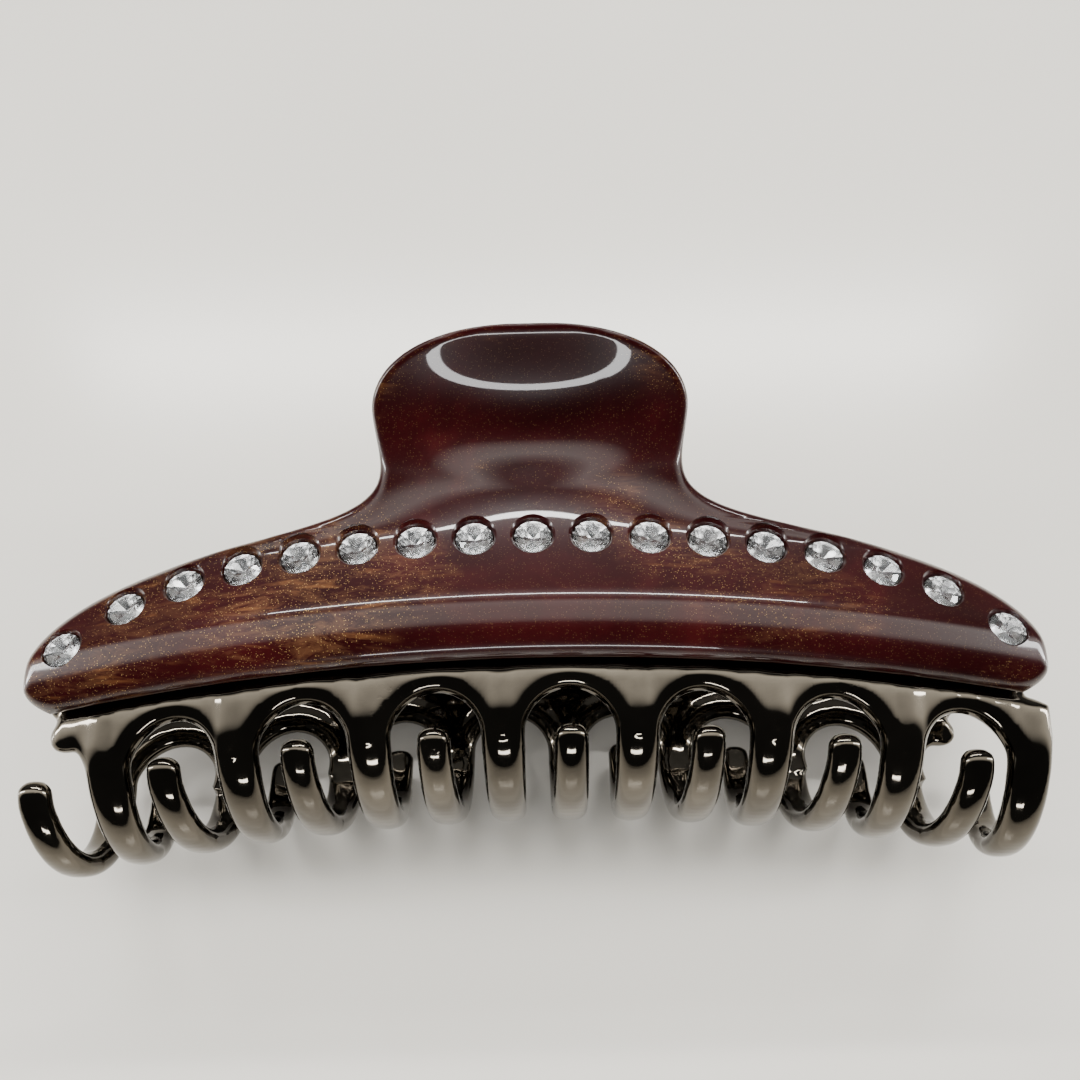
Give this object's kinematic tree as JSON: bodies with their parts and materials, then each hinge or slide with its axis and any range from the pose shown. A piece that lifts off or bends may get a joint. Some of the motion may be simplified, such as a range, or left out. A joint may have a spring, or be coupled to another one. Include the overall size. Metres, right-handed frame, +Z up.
{
  "type": "claw hair clip",
  "caption": "Claw hair clip with a thumb tab, a row of set stones on each glossy cover and a sprung pair of curved-tooth jaws.",
  "frame": {"origin": "middle of the clip's footprint on the surface it lies on, rear half down", "axes": "+X along the clip, +Y towards the thumb tabs, +Z up through the front half"},
  "size_m": [0.108, 0.0574, 0.0465],
  "materials": {
    "cover": "deep burgundy, high gloss with fine golden flecks",
    "jaw": "polished dark nickel plating",
    "stone": "clear, faceted, silver backed",
    "steel": "plain spring steel"
  },
  "bodies": {
    "rear_half": {"rear_cover": "cover", "rear_jaw": "jaw", "hinge_pin": "steel", "torsion_spring": "steel", "rear_stone_01": "stone", "rear_stone_02": "stone", "rear_stone_03": "stone", "rear_stone_04": "stone", "rear_stone_05": "stone", "rear_stone_06": "stone", "rear_stone_07": "stone", "rear_stone_08": "stone", "rear_stone_09": "stone", "rear_stone_10": "stone", "rear_stone_11": "stone", "rear_stone_12": "stone", "rear_stone_13": "stone", "rear_stone_14": "stone", "rear_stone_15": "stone", "rear_stone_16": "stone", "rear_stone_17": "stone"},
    "front_half": {"front_cover": "cover", "front_jaw": "jaw", "front_stone_01": "stone", "front_stone_02": "stone", "front_stone_03": "stone", "front_stone_04": "stone", "front_stone_05": "stone", "front_stone_06": "stone", "front_stone_07": "stone", "front_stone_08": "stone", "front_stone_09": "stone", "front_stone_10": "stone", "front_stone_11": "stone", "front_stone_12": "stone", "front_stone_13": "stone", "front_stone_14": "stone", "front_stone_15": "stone", "front_stone_16": "stone", "front_stone_17": "stone"}
  },
  "joints": [
    {"name": "jaw_hinge", "type": "hinge", "parent": "rear_half", "child": "front_half", "pos_m": [0, 0.00667, 0.02132], "axis": [-1, 0, 0], "range_deg": [0, 45], "stiffness_Nm_per_rad": 0.08, "springref_deg": -42.97, "deforming": ["torsion_spring"]}
  ]
}
